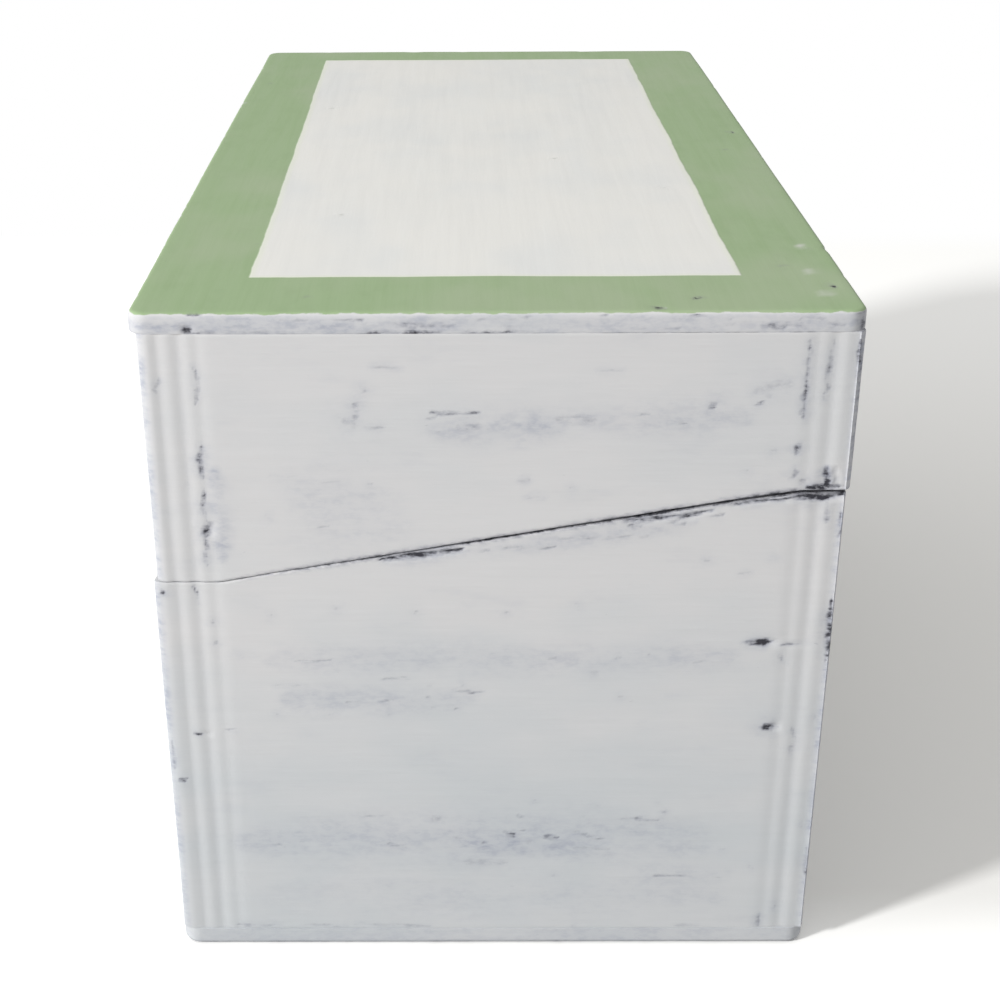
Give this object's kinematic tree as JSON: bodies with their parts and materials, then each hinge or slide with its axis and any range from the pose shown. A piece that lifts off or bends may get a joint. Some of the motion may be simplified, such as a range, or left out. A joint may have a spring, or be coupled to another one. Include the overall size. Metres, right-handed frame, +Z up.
{
  "type": "recipe card box",
  "caption": "Wooden box for recipe or index cards, with reeded corners, boarded sides, thin top and bottom panels, and a slant-cut lid that swings back on small butt hinges.",
  "frame": {"origin": "centre of the underside of the bottom panel", "axes": "+X along the length, to the right-hand end; -Y to the front, where the lid opens; +Z up"},
  "size_m": [0.1564, 0.0886, 0.092],
  "materials": {
    "chalk_painted_wood": "white chalk paint rubbed through to a dark undercoat",
    "green_painted_wood": "sage green paint with a cream field, rubbed at the edges",
    "brass_hinge": "dull stamped brass",
    "steel_brad": "plain wire"
  },
  "bodies": {
    "base": {"base_front_board": "chalk_painted_wood", "base_back_board": "chalk_painted_wood", "base_left_end_board": "chalk_painted_wood", "base_right_end_board": "chalk_painted_wood", "bottom_panel": "chalk_painted_wood", "base_corner_brads": "steel_brad", "bottom_panel_brads": "steel_brad", "left_hinge_base_leaf": "brass_hinge", "right_hinge_base_leaf": "brass_hinge", "left_hinge_pin": "brass_hinge", "right_hinge_pin": "brass_hinge", "hinge_screws_in_base": "brass_hinge"},
    "lid": {"lid_front_board": "chalk_painted_wood", "lid_back_board": "chalk_painted_wood", "lid_left_end_board": "chalk_painted_wood", "lid_right_end_board": "chalk_painted_wood", "top_panel": "green_painted_wood", "lid_corner_brads": "steel_brad", "left_hinge_lid_leaf": "brass_hinge", "right_hinge_lid_leaf": "brass_hinge", "hinge_screws_in_lid": "brass_hinge"}
  },
  "joints": [
    {"name": "lid_hinge", "type": "hinge", "parent": "base", "child": "lid", "pos_m": [0, 0.0444, 0.06885], "axis": [-1, 0, 0], "range_deg": [0, 187]}
  ]
}
